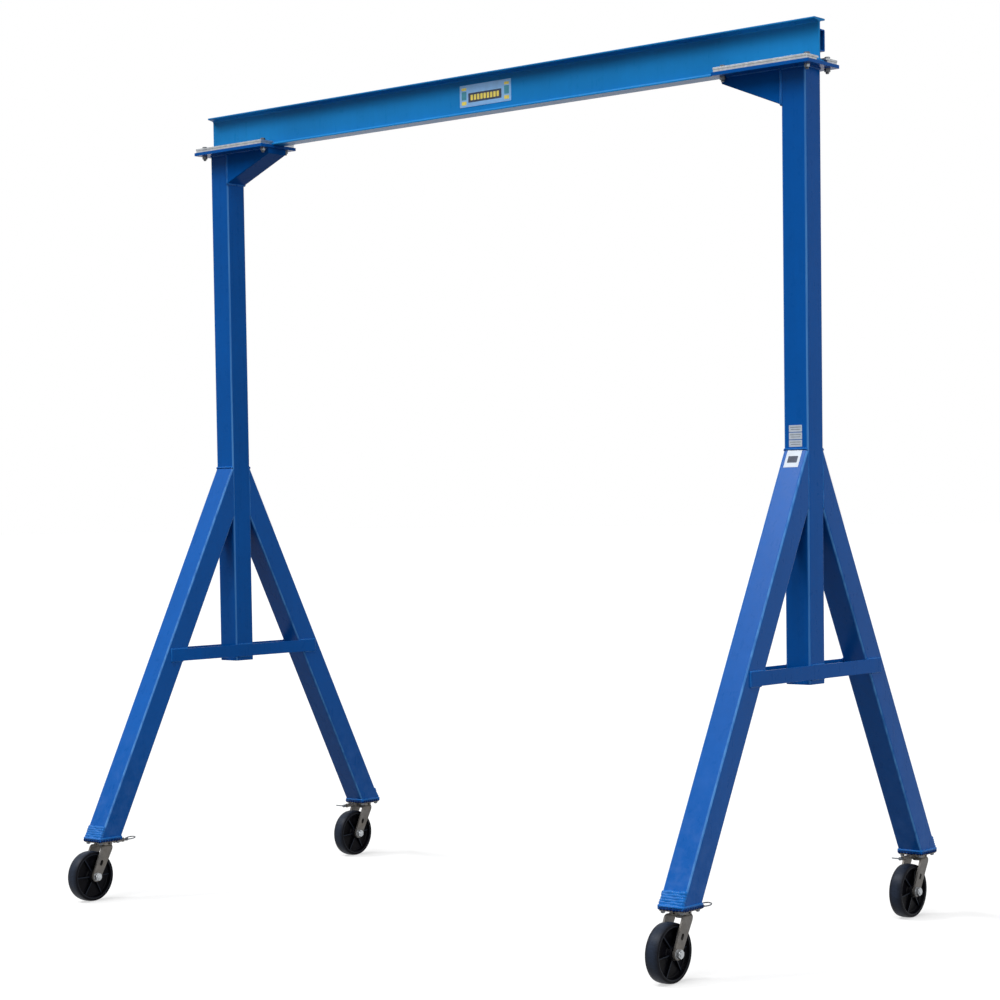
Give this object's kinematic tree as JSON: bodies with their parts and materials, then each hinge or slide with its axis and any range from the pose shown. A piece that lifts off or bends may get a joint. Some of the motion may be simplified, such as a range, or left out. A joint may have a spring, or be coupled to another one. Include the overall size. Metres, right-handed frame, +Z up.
{
  "type": "portable gantry crane",
  "caption": "Steel gantry crane: an I-beam clamped on A-frame legs, rolling on lockable swivel casters, for lifting and moving loads.",
  "frame": {"origin": "on the floor, at the centre of the footprint as it stands with its wheels trailing to the front", "axes": "+Z up, +X along the beam towards the right-hand A-frame, +Y to the back"},
  "size_m": [3.0796, 1.7872, 3.2584],
  "materials": {
    "blue_paint": "glossy blue enamel",
    "bright_zinc": "bright zinc plate",
    "dark_zinc": "dull zinc plate on pressed steel",
    "black_nylon": "moulded, slightly worn",
    "plain_steel": "turned steel"
  },
  "bodies": {
    "frame": {"beam": "blue_paint", "caster_plate_left_back": "dark_zinc", "caster_plate_left_front": "dark_zinc", "caster_plate_right_back": "dark_zinc", "caster_plate_right_front": "dark_zinc", "clamp_bar_left_back": "bright_zinc", "clamp_bar_left_front": "bright_zinc", "clamp_bar_right_back": "bright_zinc", "clamp_bar_right_front": "bright_zinc", "clamp_bolt_left_back_inner": "bright_zinc", "clamp_bolt_left_back_outer": "bright_zinc", "clamp_bolt_left_front_inner": "bright_zinc", "clamp_bolt_left_front_outer": "bright_zinc", "clamp_bolt_right_back_inner": "bright_zinc", "clamp_bolt_right_back_outer": "bright_zinc", "clamp_bolt_right_front_inner": "bright_zinc", "clamp_bolt_right_front_outer": "bright_zinc", "cross_bar_left_inner": "blue_paint", "cross_bar_left_outer": "blue_paint", "cross_bar_right_inner": "blue_paint", "cross_bar_right_outer": "blue_paint", "end_stop_left": "blue_paint", "end_stop_right": "blue_paint", "foot_plate_left_back": "blue_paint", "foot_plate_left_front": "blue_paint", "foot_plate_right_back": "blue_paint", "foot_plate_right_front": "blue_paint", "gusset_left": "blue_paint", "gusset_right": "blue_paint", "leg_left_back": "blue_paint", "leg_left_front": "blue_paint", "leg_right_back": "blue_paint", "leg_right_front": "blue_paint", "post_left": "blue_paint", "post_right": "blue_paint", "top_plate_left": "blue_paint", "top_plate_right": "blue_paint"},
    "swivel_left_front": {"caster_fork_left_front": "dark_zinc", "caster_axle_left_front": "bright_zinc"},
    "wheel_left_front": {"caster_wheel_left_front": "black_nylon", "wheel_bearing_left_front": "plain_steel"},
    "lock_left_front": {"swivel_lock_left_front": "bright_zinc"},
    "swivel_left_back": {"caster_fork_left_back": "dark_zinc", "caster_axle_left_back": "bright_zinc"},
    "wheel_left_back": {"caster_wheel_left_back": "black_nylon", "wheel_bearing_left_back": "plain_steel"},
    "lock_left_back": {"swivel_lock_left_back": "bright_zinc"},
    "swivel_right_front": {"caster_fork_right_front": "dark_zinc", "caster_axle_right_front": "bright_zinc"},
    "wheel_right_front": {"caster_wheel_right_front": "black_nylon", "wheel_bearing_right_front": "plain_steel"},
    "lock_right_front": {"swivel_lock_right_front": "bright_zinc"},
    "swivel_right_back": {"caster_fork_right_back": "dark_zinc", "caster_axle_right_back": "bright_zinc"},
    "wheel_right_back": {"caster_wheel_right_back": "black_nylon", "wheel_bearing_right_back": "plain_steel"},
    "lock_right_back": {"swivel_lock_right_back": "bright_zinc"}
  },
  "joints": [
    {"name": "caster_swivel_left_front", "type": "hinge", "parent": "frame", "child": "swivel_left_front", "pos_m": [-1.445, -0.72196, 0.22495], "axis": [0, 0, 1], "continuous": true},
    {"name": "wheel_spin_left_front", "type": "hinge", "parent": "swivel_left_front", "child": "wheel_left_front", "pos_m": [-1.445, -0.79196, 0.1016], "axis": [1, 0, 0], "continuous": true},
    {"name": "lock_pull_left_front", "type": "slide", "parent": "frame", "child": "lock_left_front", "axis": [0, -1, 0], "range_m": [0, 0.01]},
    {"name": "caster_swivel_left_back", "type": "hinge", "parent": "frame", "child": "swivel_left_back", "pos_m": [-1.445, 0.83002, 0.22495], "axis": [0, 0, 1], "continuous": true},
    {"name": "wheel_spin_left_back", "type": "hinge", "parent": "swivel_left_back", "child": "wheel_left_back", "pos_m": [-1.445, 0.76002, 0.1016], "axis": [1, 0, 0], "continuous": true},
    {"name": "lock_pull_left_back", "type": "slide", "parent": "frame", "child": "lock_left_back", "axis": [0, 1, 0], "range_m": [0, 0.01]},
    {"name": "caster_swivel_right_front", "type": "hinge", "parent": "frame", "child": "swivel_right_front", "pos_m": [1.445, -0.72196, 0.22495], "axis": [0, 0, 1], "continuous": true},
    {"name": "wheel_spin_right_front", "type": "hinge", "parent": "swivel_right_front", "child": "wheel_right_front", "pos_m": [1.445, -0.79196, 0.1016], "axis": [1, 0, 0], "continuous": true},
    {"name": "lock_pull_right_front", "type": "slide", "parent": "frame", "child": "lock_right_front", "axis": [0, -1, 0], "range_m": [0, 0.01]},
    {"name": "caster_swivel_right_back", "type": "hinge", "parent": "frame", "child": "swivel_right_back", "pos_m": [1.445, 0.83002, 0.22495], "axis": [0, 0, 1], "continuous": true},
    {"name": "wheel_spin_right_back", "type": "hinge", "parent": "swivel_right_back", "child": "wheel_right_back", "pos_m": [1.445, 0.76002, 0.1016], "axis": [1, 0, 0], "continuous": true},
    {"name": "lock_pull_right_back", "type": "slide", "parent": "frame", "child": "lock_right_back", "axis": [0, 1, 0], "range_m": [0, 0.01]}
  ]
}
